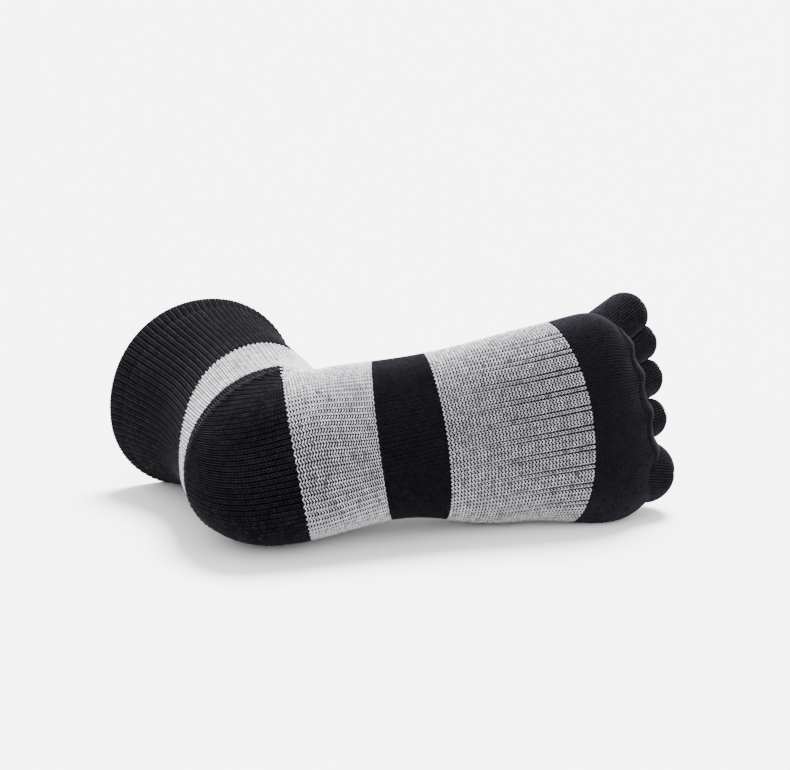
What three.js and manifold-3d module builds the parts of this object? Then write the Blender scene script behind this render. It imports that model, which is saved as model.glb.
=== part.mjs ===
import * as THREE from 'three';
import { mergeVertices } from 'three/addons/utils/BufferGeometryUtils.js';
import Module from 'manifold-3d';

// A knitted toe sock for a right foot. It keeps the form of the foot and lies on its big-toe side.
// Foot frame: x from heel to toes, h up from the sole, w from the big-toe side to the little-toe side.

// Driving dimensions in millimetres
const FOOT_LENGTH = 245; // heel to toe tips
const INSTEP_HEIGHT = 91; // sole to the bend of the ankle
const BALL_WIDTH = 98; // across the ball of the foot
const HEEL_WIDTH = 72; // across the heel and the shank
const LEG_HEIGHT = 137; // sole to the rim
const CUFF_DEPTH = 103; // front to back at the rim
const CUFF_WIDTH = 93; // side to side at the rim
const WALL = 1.8; // thickness of the knit
const GAP = 0.3; // clearance between neighbouring pieces
const TOE_LENGTH = 22; // root to the centre of the round tip of the longest toe
const TOE_WIDTH = 24; // across a middle toe at its root
const PAD_DEPTH = 9; // how far the toe box domes out beyond the toe roots
const ROUND = 2.05; // exponent of a nearly round section
const CUFF_LENGTH = 45; // rim to the grey ankle, along the leg
const HEEL_CORNER_X = 66; // where the heel's two edges meet, from the back of the heel
const HEEL_CORNER_H = 65; // the same corner, above the sole
const HEEL_SOLE = 39.5; // heel's front edge on the sole
const HEEL_BACK = 45; // heel's upper edge at the back
const ARCH_START = 80; // arch band's rear edge on the sole
const BAND_WIDTH = 33.5; // arch band along the sole
const FOREFOOT_LENGTH = 74; // ribbed zone along the sole
const RIB_DEPTH = 0.8; // furrow beside a cuff rib
const GROOVE_DEPTH = 0.9; // furrow beside a forefoot wale, at the toe box
const GROOVE_START = 0.35; // share of that depth at the arch band
const FORM_OVERLAP = 8; // how far the toe box's solid form reaches back over the forefoot
const HALF_GAP = GAP / 2;

// Counts and angles
const COLUMNS = 36; // facets round a plain zone
const CUFF_RIBS = 42;
const RIB_PAIRS = 26;
const TOE_SIDES = 12;
const ARC_STEPS = 4; // facets along a toe's root and its tip
const DOME_ROWS = 4;
const ROWS = { cuff: 4, leg: 12, band: 2, forefoot: 4, toeBox: 4, form: 5 }; // facets along each zone
const GIRTH_STEPS = 240; // chords that measure a girth
const WELD = 1e-4; // points closer than this are one
const LIE_ANGLE = THREE.MathUtils.degToRad(7.1); // the foot's axis against the floor
const PRESSED = 2.0; // how far the weight flattens the side that it lies on

// Sections through the leg, as shares: back and front points along CUFF_DEPTH and from the ankle bend
// (0) to the rim (1), half widths and side shift as shares of CUFF_WIDTH. backRound is the exponent of the
// back or sole half. lean and slant tilt a section up and back for each millimetre across.
const LEG_ROWS = [
  { backX: 0.0, backH: 0.94, frontX: 0.945, frontH: 1.04, lateral: 0.525, medial: 0.46, shift: 0.09 },
  { backX: 0.05, backH: 0.57, frontX: 0.93, frontH: 0.78, lateral: 0.485, medial: 0.425, shift: 0.07 },
  { backX: 0.1, backH: 0.13, frontX: 0.94, frontH: 0.46, lateral: 0.455, medial: 0.38, shift: 0.04 },
  { backX: 0.09, backH: -0.33, frontX: 0.95, frontH: 0.2, lateral: 0.435, medial: 0.365, shift: 0.02 },
];
// Sections through heel and shank: along FOOT_LENGTH, up INSTEP_HEIGHT, across HEEL_WIDTH.
const HEEL_ROWS = [
  { backX: 0.016, backH: 0.55, frontX: 0.402, frontH: 1.0, lateral: 0.553, medial: 0.46, shift: 0.007 },
  {
    backX: 0.012, backH: 0.242, frontX: 0.406, frontH: 0.935,
    lateral: 0.55, medial: 0.465, backRound: 2.2,
  },
  {
    backX: 0.053, backH: 0.055, frontX: 0.414, frontH: 0.9,
    lateral: 0.545, medial: 0.465, backRound: 2.3, slant: 0.03,
  },
  {
    backX: 0.143, backH: 0, frontX: 0.427, frontH: 0.875,
    lateral: 0.55, medial: 0.465, backRound: 2.3, slant: 0.05,
  },
  {
    backX: 0.294, backH: 0.016, frontX: 0.457, frontH: 0.825,
    lateral: 0.548, medial: 0.45, backRound: 2.3, slant: 0.08,
  },
];
// Sections through the forefoot: along FOOT_LENGTH, up INSTEP_HEIGHT, across BALL_WIDTH.
const BALL_ROWS = [
  {
    backX: 0.429, backH: 0.033, frontX: 0.527, frontH: 0.76,
    lateral: 0.401, medial: 0.375, backRound: 2.3, slant: 0.05,
  },
  {
    backX: 0.539, backH: 0.033, frontX: 0.608, frontH: 0.69,
    lateral: 0.416, medial: 0.45, backRound: 2.3, lean: 0.03, slant: 0.035,
  },
  {
    backX: 0.653, backH: 0.011, frontX: 0.698, frontH: 0.615,
    lateral: 0.444, medial: 0.474, backRound: 2.4, lean: 0.08, slant: 0.03,
  },
  {
    backX: 0.763, backH: -0.011, frontX: 0.788, frontH: 0.56,
    lateral: 0.464, medial: 0.526, backRound: 2.5, lean: 0.12, slant: 0.03,
  },
  {
    backX: 0.849, backH: 0.011, frontX: 0.861, frontH: 0.495,
    lateral: 0.47, medial: 0.531, backRound: 2.5, lean: 0.12, slant: 0.06,
  },
  {
    backX: 0.902, backH: 0.088, frontX: 0.902, frontH: 0.44,
    lateral: 0.422, medial: 0.485, backRound: 2.4, lean: 0.1, slant: 0.14,
  },
];
// Toes: root centre along FOOT_LENGTH, up INSTEP_HEIGHT and across BALL_WIDTH; reach, rise and drift to
// the tip centre as shares of TOE_LENGTH; radii as shares of TOE_WIDTH.
const TOE_ROWS = [
  {
    name: 'big_toe', x: 0.869, h: 0.22, w: -0.316,
    reach: 0.68, rise: 0.09, drift: -0.2, root: 0.69, tip: 0.645,
  },
  {
    name: 'second_toe', x: 0.886, h: 0.264, w: -0.112,
    reach: 0.86, rise: 0.32, drift: -0.05, root: 0.48, tip: 0.44,
  },
  {
    name: 'third_toe', x: 0.878, h: 0.286, w: 0.061,
    reach: 0.95, rise: 0.36, drift: 0.07, root: 0.48, tip: 0.44,
  },
  {
    name: 'fourth_toe', x: 0.861, h: 0.308, w: 0.214,
    reach: 1.09, rise: 0.36, drift: 0.18, root: 0.48, tip: 0.42,
  },
  {
    name: 'little_toe', x: 0.837, h: 0.33, w: 0.316,
    reach: 1.11, rise: 0.36, drift: 0.36, root: 0.53, tip: 0.49,
  },
];

// The cuff's lower edge rises to the front and dips to the back, where it runs down in a blunt point.
const CUFF_EDGE_DIP = 0.06; // share of CUFF_WIDTH
const CUFF_EDGE_POINT = 0.13;
const CUFF_POINT_POWER = 4; // the higher, the narrower the point
// The other edges curve back towards the heel at the sides, on these radii.
const BAND_CURVE = 4.1; // share of BALL_WIDTH
const PAD_CURVE = 1.63;
const PAD_MIDDLE = 0.05; // where the pad's edge reaches furthest forward, as a share of BALL_WIDTH
const HEEL_EDGE_SLANT = 0.11;

const wasm = await Module();
wasm.setup();

// A natural cubic spline through the values, as a function of the position along the knots
function spline(knots, values) {
  const last = knots.length - 1;
  const bend = new Array(last + 1).fill(0);
  const factor = new Array(last + 1).fill(0);
  const rest = new Array(last + 1).fill(0);
  for (let i = 1; i < last; i++) {
    const before = knots[i] - knots[i - 1];
    const after = knots[i + 1] - knots[i];
    const turn = (values[i + 1] - values[i]) / after - (values[i] - values[i - 1]) / before;
    const pivot = 2 * (before + after) - before * factor[i - 1];
    factor[i] = after / pivot;
    rest[i] = (6 * turn - before * rest[i - 1]) / pivot;
  }
  for (let i = last - 1; i > 0; i--) bend[i] = rest[i] - factor[i] * bend[i + 1];
  return (at) => {
    let i = 0;
    while (i < last - 1 && at > knots[i + 1]) i++;
    const step = knots[i + 1] - knots[i];
    const b = (at - knots[i]) / step;
    const a = 1 - b;
    const curve = ((a ** 3 - a) * bend[i] + (b ** 3 - b) * bend[i + 1]) * step * step / 6;
    return a * values[i] + b * values[i + 1] + curve;
  };
}

// Turns one table's shares into millimetres
function sized(rows, length, foot, height, width) {
  return rows.map((row) => ({
    backX: row.backX * length,
    backH: foot + row.backH * height,
    frontX: row.frontX * length,
    frontH: foot + row.frontH * height,
    lateral: row.lateral * width,
    medial: row.medial * width,
    shift: (row.shift ?? 0) * width,
    backRound: row.backRound ?? ROUND,
    lean: row.lean ?? 0,
    slant: row.slant ?? 0,
  }));
}

const sections = [
  ...sized(LEG_ROWS, CUFF_DEPTH, INSTEP_HEIGHT, LEG_HEIGHT - INSTEP_HEIGHT, CUFF_WIDTH),
  ...sized(HEEL_ROWS, FOOT_LENGTH, 0, INSTEP_HEIGHT, HEEL_WIDTH),
  ...sized(BALL_ROWS, FOOT_LENGTH, 0, INSTEP_HEIGHT, BALL_WIDTH),
];

// Distance along the sock, from the rim, at each section: the mean of the back and the front profile
const stations = [0];
for (let i = 1; i < sections.length; i++) {
  const one = sections[i - 1];
  const two = sections[i];
  const back = Math.hypot(two.backX - one.backX, two.backH - one.backH);
  const front = Math.hypot(two.frontX - one.frontX, two.frontH - one.frontH);
  stations.push(stations[i - 1] + (back + front) / 2);
}
const TOE_ROOT = stations[stations.length - 1];
const columnSplines = Object.keys(sections[0]).map((key) => [
  key,
  spline(stations, sections.map((section) => section[key])),
]);

function sectionAt(station) {
  const along = Math.min(station, TOE_ROOT);
  return Object.fromEntries(columnSplines.map(([key, at]) => [key, at(along)]));
}

// A point on the sock: angle 0 is the sole or the back of the leg, a quarter turn is the little-toe
// side. Past the toe roots the skin closes in a dome, whose pole lies one station further.
function footPoint(station, angle, inset) {
  const row = sectionAt(station);
  const midX = (row.backX + row.frontX) / 2;
  const midH = (row.backH + row.frontH) / 2;
  const half = Math.hypot(row.backX - row.frontX, row.backH - row.frontH) / 2;
  const toX = (row.backX - row.frontX) / (2 * half);
  const toH = (row.backH - row.frontH) / (2 * half);
  const c = Math.cos(angle);
  const s = Math.sin(angle);
  const round = c > 0 ? row.backRound : ROUND;
  const reach = (Math.abs(c) ** round + Math.abs(s) ** round) ** (-1 / round);
  const dome = Math.max(station - TOE_ROOT, 0) * Math.PI / 2;
  const shrink = Math.cos(dome);
  const side = ((s > 0 ? row.lateral : row.medial) - inset) * reach * s * shrink;
  const up = (half - inset) * reach * c * shrink;
  const push = (PAD_DEPTH - inset) * Math.sin(dome);
  return new THREE.Vector3(
    midX + up * toX - row.slant * side + push,
    midH + up * toH + row.lean * side,
    row.shift + side,
  );
}

// Turns the foot onto its big-toe side: the little-toe side faces up, the sole faces forward
function lay(point) {
  return new THREE.Vector3(
    point.x * Math.cos(LIE_ANGLE) - point.z * Math.sin(LIE_ANGLE),
    point.y,
    point.x * Math.sin(LIE_ANGLE) + point.z * Math.cos(LIE_ANGLE),
  );
}

function lowestOf(from, to) {
  let lowest = Infinity;
  for (let station = from; station < to; station += 2) {
    for (let turn = 0; turn < 1; turn += 0.01) {
      lowest = Math.min(lowest, lay(footPoint(station, turn * 2 * Math.PI, 0)).z);
    }
  }
  return lowest;
}
const FLOOR = lowestOf(0, TOE_ROOT) + PRESSED;

// Rests a laid point on the floor, flattened where the weight presses it
function rest(point, inset) {
  const laid = lay(point);
  return laid.setZ(Math.max(laid.z - FLOOR, Math.max(inset, 0)));
}

// Angles that part the girth at a station evenly, one for each share
function evenAngles(station, shares) {
  const lengths = [0];
  let before = footPoint(station, 0, 0);
  for (let i = 1; i <= GIRTH_STEPS; i++) {
    const next = footPoint(station, i / GIRTH_STEPS * 2 * Math.PI, 0);
    lengths.push(lengths[i - 1] + next.distanceTo(before));
    before = next;
  }
  return shares.map((share) => {
    const target = share * lengths[GIRTH_STEPS];
    let i = 0;
    while (i < GIRTH_STEPS - 1 && lengths[i + 1] < target) i++;
    const part = (target - lengths[i]) / (lengths[i + 1] - lengths[i]);
    return (i + part) / GIRTH_STEPS * 2 * Math.PI;
  });
}

function geometryOf(positions, faces) {
  const geometry = new THREE.BufferGeometry();
  geometry.setAttribute('position', new THREE.Float32BufferAttribute(positions, 3));
  geometry.setIndex(faces);
  return geometry;
}

// A zone of the sock between two edges, as a wall with an outer and an inner skin. An edge gives its
// station at each angle. relief lowers the outer skin at a column and a share of the zone's length.
function zone({ from, to, rows, shares, relief = () => 0, grow = 0, solid = false }) {
  const positions = [];
  const faces = [];
  const count = shares.length;
  const closed = to === 'dome';
  const fromMid = from.station;
  const toMid = closed ? TOE_ROOT : to.station;
  const levels = [];
  for (let row = 0; row <= rows; row++) levels.push({ share: row / rows, dome: 0 });
  if (closed) for (let row = 1; row < DOME_ROWS; row++) levels.push({ share: 1, dome: row / DOME_ROWS });
  const rings = levels.map(({ share, dome }) => {
    const middle = fromMid + (toMid - fromMid) * share;
    const angles = evenAngles(middle, shares);
    return angles.map((angle, column) => {
      const start = from.at(angle);
      const end = closed ? TOE_ROOT : to.at(angle);
      const station = start + (end - start) * share + dome;
      return { station, angle, depth: relief(column, share) };
    });
  });
  const skin = (inset, lower) => {
    const first = positions.length / 3;
    for (const ring of rings) {
      for (const { station, angle, depth } of ring) {
        const point = footPoint(station, angle, inset + (lower ? depth : 0));
        positions.push(...rest(point, inset).toArray());
      }
    }
    if (closed) positions.push(...rest(footPoint(TOE_ROOT + 1, 0, inset), inset).toArray());
    return first;
  };
  const outer = skin(-grow, true);
  const last = (rings.length - 1) * count;
  const quad = (a, b, c, d) => faces.push(a, b, c, a, c, d);
  const cover = (first, flip) => {
    for (let ring = 0; ring < rings.length - 1; ring++) {
      for (let column = 0; column < count; column++) {
        const next = (column + 1) % count;
        const a = first + ring * count + column;
        const b = first + ring * count + next;
        if (flip) quad(a, b, b + count, a + count);
        else quad(a, a + count, b + count, b);
      }
    }
    if (!closed) return;
    const pole = first + rings.length * count;
    for (let column = 0; column < count; column++) {
      const a = first + last + column;
      const b = first + last + (column + 1) % count;
      if (flip) faces.push(a, b, pole);
      else faces.push(a, pole, b);
    }
  };
  cover(outer, false);
  if (solid) {
    const hub = positions.length / 3;
    const start = new THREE.Vector3();
    for (let column = 0; column < count; column++) {
      start.add(new THREE.Vector3().fromArray(positions, (outer + column) * 3));
    }
    positions.push(...start.divideScalar(count).toArray());
    for (let column = 0; column < count; column++) {
      faces.push(outer + column, outer + (column + 1) % count, hub);
    }
    return geometryOf(positions, faces);
  }
  const inner = skin(WALL, false);
  cover(inner, true);
  for (let column = 0; column < count; column++) {
    const next = (column + 1) % count;
    quad(outer + column, outer + next, inner + next, inner + column);
    if (!closed) {
      quad(outer + last + column, inner + last + column, inner + last + next, outer + last + next);
    }
  }
  return geometryOf(positions, faces);
}

const evenShares = (count) => Array.from({ length: count }, (_, i) => i / count);

// Station on the sole at a distance from the back of the heel
function soleStation(x) {
  let low = stations[LEG_ROWS.length + 2];
  let high = TOE_ROOT;
  for (let i = 0; i < 40; i++) {
    const middle = (low + high) / 2;
    if (sectionAt(middle).backX < x) low = middle;
    else high = middle;
  }
  return low;
}

// An edge across the foot: from its middle it bows back towards the heel at both sides, on a radius
function edge(station, radius, offset, middle = 0) {
  const at = (angle) => station + offset - (footPoint(station, angle, 0).z - middle) ** 2 / (2 * radius);
  return { station, at };
}

function cuffEdge(offset) {
  const at = (angle) => {
    const back = Math.cos(angle);
    const point = CUFF_EDGE_POINT * Math.max(back, 0) ** CUFF_POINT_POWER;
    return CUFF_LENGTH + offset + CUFF_WIDTH * (CUFF_EDGE_DIP * back + point);
  };
  return { station: CUFF_LENGTH, at };
}

const rim = { station: 0, at: () => 0 };
const archRear = (offset) => edge(soleStation(ARCH_START), Infinity, offset);
const archFront = (offset) => edge(soleStation(ARCH_START + BAND_WIDTH), BAND_CURVE * BALL_WIDTH, offset);
const padRear = (offset) => edge(
  soleStation(ARCH_START + BAND_WIDTH + FOREFOOT_LENGTH),
  PAD_CURVE * BALL_WIDTH,
  offset,
  PAD_MIDDLE * BALL_WIDTH,
);

function solidOf(geometry) {
  geometry.deleteAttribute('normal');
  geometry.deleteAttribute('uv');
  const merged = mergeVertices(geometry, WELD);
  const vertProperties = Float32Array.from(merged.attributes.position.array);
  const triVerts = Uint32Array.from(merged.index.array);
  return new wasm.Manifold(new wasm.Mesh({ numProp: 3, vertProperties, triVerts }));
}

function geometryFrom(manifold) {
  const mesh = manifold.getMesh();
  return geometryOf(Array.from(mesh.vertProperties), Array.from(mesh.triVerts));
}

// Moves a geometry's vertices from the foot frame into the laid frame
function layGeometry(geometry) {
  const position = geometry.attributes.position;
  const point = new THREE.Vector3();
  for (let i = 0; i < position.count; i++) {
    point.fromBufferAttribute(position, i);
    const laid = lay(point);
    position.setXYZ(i, laid.x, laid.y, laid.z - FLOOR);
  }
  return geometry;
}

// The wedge that the heel pocket takes out of the sock: two planes that meet above the shank, each
// moved out by the offset, swept across the foot with a slant
function heelWedge(offset) {
  const corner = new THREE.Vector2(HEEL_CORNER_X, HEEL_CORNER_H);
  const toSole = new THREE.Vector2(HEEL_SOLE, 0).sub(corner).normalize();
  const toBack = new THREE.Vector2(0, HEEL_BACK).sub(corner).normalize();
  const soleOut = new THREE.Vector2(-toSole.y, toSole.x);
  const backOut = new THREE.Vector2(toBack.y, -toBack.x);
  const bisector = soleOut.clone().add(backOut);
  const tip = corner.clone().addScaledVector(bisector, offset / (1 + soleOut.dot(backOut)));
  const far = FOOT_LENGTH;
  const shape = new THREE.Shape([
    tip,
    tip.clone().addScaledVector(toBack, far),
    tip.clone().addScaledVector(toBack, far).addScaledVector(toSole, far),
    tip.clone().addScaledVector(toSole, far),
  ]);
  const geometry = new THREE.ExtrudeGeometry(shape, { depth: 2 * BALL_WIDTH, bevelEnabled: false });
  geometry.translate(0, 0, -BALL_WIDTH);
  const shear = new THREE.Matrix4().set(1, 0, -HEEL_EDGE_SLANT, 0, 0, 1, 0, 0, 0, 0, 1, 0, 0, 0, 0, 1);
  return solidOf(layGeometry(geometry.applyMatrix4(shear)));
}

// Toe centres and radii in millimetres
const toes = TOE_ROWS.map((row) => {
  const root = new THREE.Vector3(row.x * FOOT_LENGTH, row.h * INSTEP_HEIGHT, row.w * BALL_WIDTH);
  const step = new THREE.Vector3(row.reach, row.rise, row.drift).multiplyScalar(TOE_LENGTH);
  return {
    name: row.name,
    root,
    tip: root.clone().add(step),
    rootRadius: row.root * TOE_WIDTH,
    tipRadius: row.tip * TOE_WIDTH,
  };
});

// A toe as a blunt finger: a round root, a tapering shaft and a round tip
function toeFinger({ root, tip, rootRadius, tipRadius }, inset) {
  const length = root.distanceTo(tip);
  const profile = [];
  for (let i = 0; i <= ARC_STEPS; i++) {
    const turn = i / ARC_STEPS * Math.PI / 2;
    const radius = rootRadius - inset;
    profile.push(new THREE.Vector2(i === 0 ? 0 : radius * Math.sin(turn), -radius * Math.cos(turn)));
  }
  for (let i = 0; i <= ARC_STEPS; i++) {
    const turn = i / ARC_STEPS * Math.PI / 2;
    const radius = tipRadius - inset;
    const across = i === ARC_STEPS ? 0 : radius * Math.cos(turn);
    profile.push(new THREE.Vector2(across, length + radius * Math.sin(turn)));
  }
  const geometry = new THREE.LatheGeometry(profile, TOE_SIDES);
  const direction = tip.clone().sub(root).normalize();
  const turn = new THREE.Quaternion().setFromUnitVectors(new THREE.Vector3(0, 1, 0), direction);
  geometry.applyQuaternion(turn).translate(root.x, root.y, root.z);
  return solidOf(layGeometry(geometry));
}

// A block with one face between two neighbouring toes, moved towards the first toe by the offset
function besideToe(toe, neighbour, offset) {
  const size = 4 * BALL_WIDTH;
  const middle = (one, two) => one.clone().add(two).multiplyScalar(0.5);
  const across = neighbour.tip.clone().sub(toe.tip).normalize();
  const face = middle(toe.tip, neighbour.tip);
  const lead = (toe.tipRadius - neighbour.tipRadius) / 2;
  face.addScaledVector(across, lead - offset);
  const geometry = new THREE.BoxGeometry(size, size, size);
  geometry.translate(size / 2, 0, 0);
  const turn = new THREE.Quaternion().setFromUnitVectors(new THREE.Vector3(1, 0, 0), across);
  geometry.applyQuaternion(turn).translate(face.x, face.y, face.z);
  return solidOf(layGeometry(geometry));
}

function toePocket(index, footForm) {
  const toe = toes[index];
  let outside = toeFinger(toe, 0);
  let inside = toeFinger(toe, WALL);
  for (const neighbour of [toes[index - 1], toes[index + 1]]) {
    if (!neighbour) continue;
    outside = outside.subtract(besideToe(toe, neighbour, HALF_GAP));
    inside = inside.subtract(besideToe(toe, neighbour, HALF_GAP + WALL));
  }
  return { pocket: outside.subtract(inside).subtract(footForm), inside };
}

// Knit furrows: cuff ribs are every other column, forefoot wales stand between two furrows
const cuffShares = evenShares(CUFF_RIBS * 2);
const cuffRelief = (column) => (column % 2) * RIB_DEPTH;
const PAIR = [
  { at: 0, depth: 0 },
  { at: 0.52, depth: 0 },
  { at: 0.64, depth: 1 },
  { at: 0.76, depth: 0.1 },
  { at: 0.88, depth: 1 },
];
const pairShares = evenShares(RIB_PAIRS).flatMap((start) => PAIR.map(({ at }) => start + at / RIB_PAIRS));
const pairRelief = (column, share) => (
  PAIR[column % PAIR.length].depth * GROOVE_DEPTH * (GROOVE_START + (1 - GROOVE_START) * share)
);

const plain = evenShares(COLUMNS);
const legAndShank = solidOf(zone({
  from: cuffEdge(HALF_GAP), to: archRear(-HALF_GAP), rows: ROWS.leg, shares: plain,
}));
const toeBoxShell = solidOf(zone({
  from: padRear(HALF_GAP), to: 'dome', rows: ROWS.toeBox, shares: plain,
}));
const footForm = solidOf(zone({
  from: padRear(-FORM_OVERLAP), to: 'dome', rows: ROWS.form, shares: plain, grow: GAP, solid: true,
}));
const pockets = toes.map((_, index) => toePocket(index, footForm));
let toeBox = toeBoxShell;
for (const { inside } of pockets) toeBox = toeBox.subtract(inside);

const blackKnit = { color: 0x1d1c22, roughness: 0.95, metalness: 0 };
const greyKnit = { color: 0x9a9b9f, roughness: 0.95, metalness: 0 };

const sock = new THREE.Group();
function add(name, geometry, knit) {
  const mesh = new THREE.Mesh(geometry, new THREE.MeshStandardMaterial(knit));
  mesh.name = name;
  sock.add(mesh);
}

add(
  'cuff',
  zone({ from: rim, to: cuffEdge(-HALF_GAP), rows: ROWS.cuff, shares: cuffShares, relief: cuffRelief }),
  blackKnit,
);
add('ankle_panel', geometryFrom(legAndShank.subtract(heelWedge(HALF_GAP))), greyKnit);
add('heel_pocket', geometryFrom(legAndShank.intersect(heelWedge(-HALF_GAP))), blackKnit);
add(
  'arch_band',
  zone({ from: archRear(HALF_GAP), to: archFront(-HALF_GAP), rows: ROWS.band, shares: plain }),
  blackKnit,
);
add(
  'forefoot',
  zone({
    from: archFront(HALF_GAP), to: padRear(-HALF_GAP), rows: ROWS.forefoot,
    shares: pairShares, relief: pairRelief,
  }),
  greyKnit,
);
add('toe_box', geometryFrom(toeBox), blackKnit);
pockets.forEach(({ pocket }, index) => add(toes[index].name, geometryFrom(pocket), blackKnit));

// Origin: on the floor, below the middle of the sock's box
const box = new THREE.Box3().setFromObject(sock);
const centre = box.getCenter(new THREE.Vector3());
sock.position.set(-centre.x, -centre.y, -box.min.z);

export default sock;
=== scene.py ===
# %% [markdown]
# # A knitted toe sock
#
# A black and grey toe sock for a right foot lies on its big-toe side. It keeps the form of a foot. The
# frame holds its plain cloth walls, and this script replaces each of them with a knit: a thin ground
# cloth and, on top of it, one modelled stitch for each loop of yarn.

# %% Load the frame
from collections import namedtuple

import bmesh
import bpy
import numpy as np
from mathutils import Matrix, Vector


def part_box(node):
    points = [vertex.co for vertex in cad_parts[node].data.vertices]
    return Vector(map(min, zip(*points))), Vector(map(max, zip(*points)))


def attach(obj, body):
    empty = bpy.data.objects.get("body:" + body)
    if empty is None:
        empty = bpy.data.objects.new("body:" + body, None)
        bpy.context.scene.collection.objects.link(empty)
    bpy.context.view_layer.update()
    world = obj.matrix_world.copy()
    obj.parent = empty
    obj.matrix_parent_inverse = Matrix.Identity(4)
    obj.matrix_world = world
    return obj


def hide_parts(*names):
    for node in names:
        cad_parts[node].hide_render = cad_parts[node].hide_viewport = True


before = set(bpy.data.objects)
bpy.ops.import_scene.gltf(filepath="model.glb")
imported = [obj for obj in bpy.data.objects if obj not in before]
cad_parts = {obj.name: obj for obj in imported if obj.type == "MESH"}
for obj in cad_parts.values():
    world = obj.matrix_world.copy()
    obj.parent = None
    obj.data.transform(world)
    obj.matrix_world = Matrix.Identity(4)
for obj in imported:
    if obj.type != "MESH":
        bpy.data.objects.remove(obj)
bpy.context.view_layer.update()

MM = 0.001
TAU = 2 * np.pi

# %% [markdown]
# ## One helper for every node
#
# Shaders and geometry trees are both graphs. A single function that makes a node, sets its options and
# joins its inputs keeps each graph as short as a recipe. An input that is given as a socket becomes a
# link, and any other value becomes the input's own setting. A second helper puts an object in the scene.

# %% Add a node, add an object


def node(tree, kind, inputs=(), **settings):
    made = tree.nodes.new(kind)
    for name, value in settings.items():
        setattr(made, name, value)
    for name, value in dict(inputs).items():
        if isinstance(value, bpy.types.NodeSocket):
            tree.links.new(value, made.inputs[name])
        else:
            made.inputs[name].default_value = value
    return made


def object_with(name, data):
    made = bpy.data.objects.new(name, data)
    bpy.context.scene.collection.objects.link(made)
    return made


# %% [markdown]
# ## The camera
#
# The sock is seen from a little above the floor, from the heel's side, at the distance of a small
# product set. The view rolls by three degrees. A long lens keeps the toes from looking small.

# %% Place the camera
AIM = Vector((-2.4, -18.0, 50.0)) * MM  # a point inside the arch
CAMERA_TURN = np.radians(-27.75)  # round the sock, from straight in front
CAMERA_RISE = np.radians(14.0)
CAMERA_ROLL = np.radians(3.06)
CAMERA_DISTANCE = 880 * MM
LENS = 85.6  # millimetres
SENSOR = 36  # millimetres
PICTURE_SHIFT = (-0.0288, 0.0341)  # share of the picture's width

back = Vector((
    np.sin(CAMERA_TURN) * np.cos(CAMERA_RISE),
    -np.cos(CAMERA_TURN) * np.cos(CAMERA_RISE),
    np.sin(CAMERA_RISE),
))
level = Vector((0, 0, 1)).cross(back).normalized()
upright = back.cross(level)
right = level * np.cos(CAMERA_ROLL) + upright * np.sin(CAMERA_ROLL)
up = upright * np.cos(CAMERA_ROLL) - level * np.sin(CAMERA_ROLL)

camera_data = bpy.data.cameras.new("product_camera")
camera_data.lens = LENS
camera_data.sensor_width = SENSOR
camera_data.sensor_fit = "HORIZONTAL"
camera_data.shift_x, camera_data.shift_y = PICTURE_SHIFT
camera_data.clip_start = 0.05
camera = object_with("product_camera", camera_data)
turned = Matrix((right, up, back)).transposed().to_4x4()
camera.matrix_world = Matrix.Translation(AIM + back * CAMERA_DISTANCE) @ turned
bpy.context.scene.camera = camera
print("camera at", [round(v, 3) for v in camera.location])

# %% [markdown]
# ## The form of the foot
#
# A sock has no form of its own: it takes the form of what wore it. The form is a stack of rounded
# sections, from the rim of the leg down round the heel and along to the toes. A few sections, given as
# shares of named sizes, are joined by a smooth spline. Sculpting could make the same form, but here
# every piece reads its points from one surface by number, so that neighbours always meet.

# %% Sizes in millimetres
FOOT_LENGTH = 245  # heel to toe tips
INSTEP_HEIGHT = 91  # sole to the bend of the ankle
BALL_WIDTH = 98
HEEL_WIDTH = 72
LEG_HEIGHT = 137  # sole to the rim
CUFF_DEPTH = 103  # front to back at the rim
CUFF_WIDTH = 93
WALL = 1.8  # thickness of the knit
GAP = 0.3
PAD_DEPTH = 9  # how far the toe box domes out beyond the toe roots
LIE_ANGLE = np.radians(7.1)  # the foot's axis against the floor
PRESSED = 2.0  # how far the weight flattens the side that it lies on
ROUND = 2.05  # exponent of a nearly round section

# %% Sections of the leg, the heel and the ball, as shares of those sizes
COLUMNS = (
    "back_x", "back_h", "front_x", "front_h", "lateral", "medial", "shift", "back_round", "lean", "slant",
)
LEG_ROWS = [
    (0.0, 0.94, 0.945, 1.04, 0.525, 0.46, 0.09, ROUND, 0, 0),
    (0.05, 0.57, 0.93, 0.78, 0.485, 0.425, 0.07, ROUND, 0, 0),
    (0.1, 0.13, 0.94, 0.46, 0.455, 0.38, 0.04, ROUND, 0, 0),
    (0.09, -0.33, 0.95, 0.2, 0.435, 0.365, 0.02, ROUND, 0, 0),
]
HEEL_ROWS = [
    (0.016, 0.55, 0.402, 1.0, 0.553, 0.46, 0.007, ROUND, 0, 0),
    (0.012, 0.242, 0.406, 0.935, 0.55, 0.465, 0, 2.2, 0, 0),
    (0.053, 0.055, 0.414, 0.9, 0.545, 0.465, 0, 2.3, 0, 0.03),
    (0.143, 0, 0.427, 0.875, 0.55, 0.465, 0, 2.3, 0, 0.05),
    (0.294, 0.016, 0.457, 0.825, 0.548, 0.45, 0, 2.3, 0, 0.08),
]
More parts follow.
